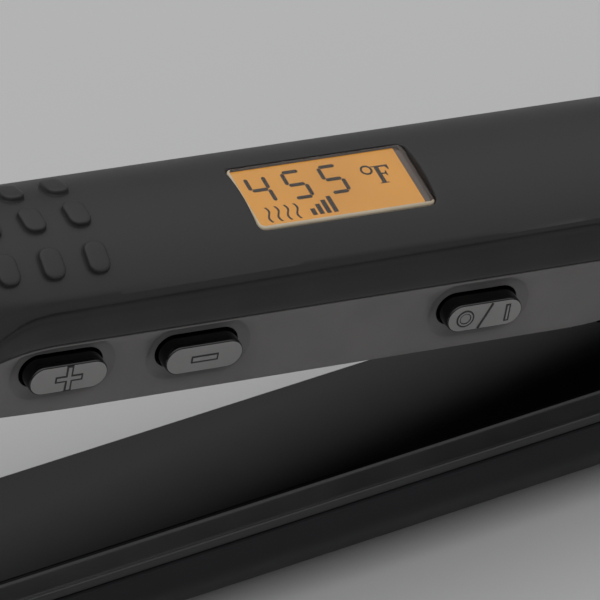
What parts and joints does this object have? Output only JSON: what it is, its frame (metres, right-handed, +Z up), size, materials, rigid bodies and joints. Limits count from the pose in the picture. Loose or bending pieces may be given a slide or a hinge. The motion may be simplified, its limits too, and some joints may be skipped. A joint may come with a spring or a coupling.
{
  "type": "flat iron",
  "caption": "Two hinged arms with floating heated plates, a side control strip with push buttons and a lit temperature display in the crowned handle.",
  "frame": {"origin": "centre of the flat under the lower arm, on the surface it lies on", "axes": "+X along the arms from the plates to the hinge, +Z up from the table, -Y is the side with the buttons"},
  "size_m": [0.2976, 0.0325, 0.0818],
  "materials": {
    "shell": "soft-touch black",
    "strip": "satin dark grey",
    "gloss": "satin gloss black",
    "button": "satin face, gloss sides",
    "lens": "clear",
    "lcd": "amber lit",
    "white": "moulded",
    "board": "solder mask",
    "coating": "ceramic coating",
    "aluminium": "pressed",
    "steel": "plated",
    "silicone": "matt",
    "film": "polyimide film",
    "rubber": "matt"
  },
  "bodies": {
    "lower_arm": {"lower_shell": "shell", "lower_inner_frame": "gloss", "hinge_yoke": "gloss", "hinge_shroud": "gloss", "hinge_pin": "steel", "hinge_spring": "steel", "hinge_cap_left": "gloss", "hinge_cap_right": "gloss", "lower_screw_front": "steel", "lower_screw_rear": "steel", "yoke_screw_left": "steel", "yoke_screw_right": "steel", "lower_leads": "silicone", "cord_clamp": "white"},
    "lower_plate": {"lower_heater_plate": "coating", "lower_heating_element": "film", "lower_heater_clamp": "aluminium", "lower_cushion_front": "silicone", "lower_cushion_rear": "silicone", "lower_thermal_fuse": "white"},
    "gland": {"swivel_gland": "rubber"},
    "upper_arm": {"upper_shell": "shell", "upper_inner_frame": "gloss", "upper_hinge_knuckle": "gloss", "control_strip": "strip", "display_lens": "lens", "lcd_panel": "lcd", "lcd_backlight": "white", "display_board": "board", "switch_board": "board", "switch_plus": "gloss", "switch_minus": "gloss", "switch_power": "gloss", "upper_screw_front": "steel", "upper_screw_rear": "steel", "knuckle_screw_left": "steel", "knuckle_screw_right": "steel", "upper_leads": "silicone"},
    "upper_plate": {"upper_heater_plate": "coating", "upper_heating_element": "film", "upper_heater_clamp": "aluminium", "upper_cushion_front": "silicone", "upper_cushion_rear": "silicone", "upper_thermistor": "white"},
    "plus_button": {"button_plus": "button"},
    "minus_button": {"button_minus": "button"},
    "power_button": {"button_power": "button"}
  },
  "joints": [
    {"name": "arm_hinge", "type": "hinge", "parent": "lower_arm", "child": "upper_arm", "pos_m": [0.1259, 0, 0.0175], "axis": [0, -1, 0], "range_deg": [0, 10.33], "stiffness_Nm_per_rad": 2, "springref_deg": -10.31},
    {"name": "lower_plate_float", "type": "slide", "parent": "lower_arm", "child": "lower_plate", "axis": [0, 0, -1], "range_m": [0, 0.001], "stiffness_N_per_m": 3000, "springref_m": -0.001},
    {"name": "upper_plate_float", "type": "slide", "parent": "upper_arm", "child": "upper_plate", "axis": [0.1793, 0, 0.9838], "range_m": [0, 0.001], "stiffness_N_per_m": 3000, "springref_m": -0.001},
    {"name": "plus_press", "type": "slide", "parent": "upper_arm", "child": "plus_button", "axis": [0, 1, 0], "range_m": [0, 0.0008], "stiffness_N_per_m": 800, "springref_m": -0.0005},
    {"name": "minus_press", "type": "slide", "parent": "upper_arm", "child": "minus_button", "axis": [0, 1, 0], "range_m": [0, 0.0008], "stiffness_N_per_m": 800, "springref_m": -0.0005},
    {"name": "power_press", "type": "slide", "parent": "upper_arm", "child": "power_button", "axis": [0, 1, 0], "range_m": [0, 0.0008], "stiffness_N_per_m": 800, "springref_m": -0.0005},
    {"name": "gland_swivel", "type": "hinge", "parent": "lower_arm", "child": "gland", "pos_m": [0.141, 0, 0.0079], "axis": [1, 0, 0], "continuous": true}
  ]
}
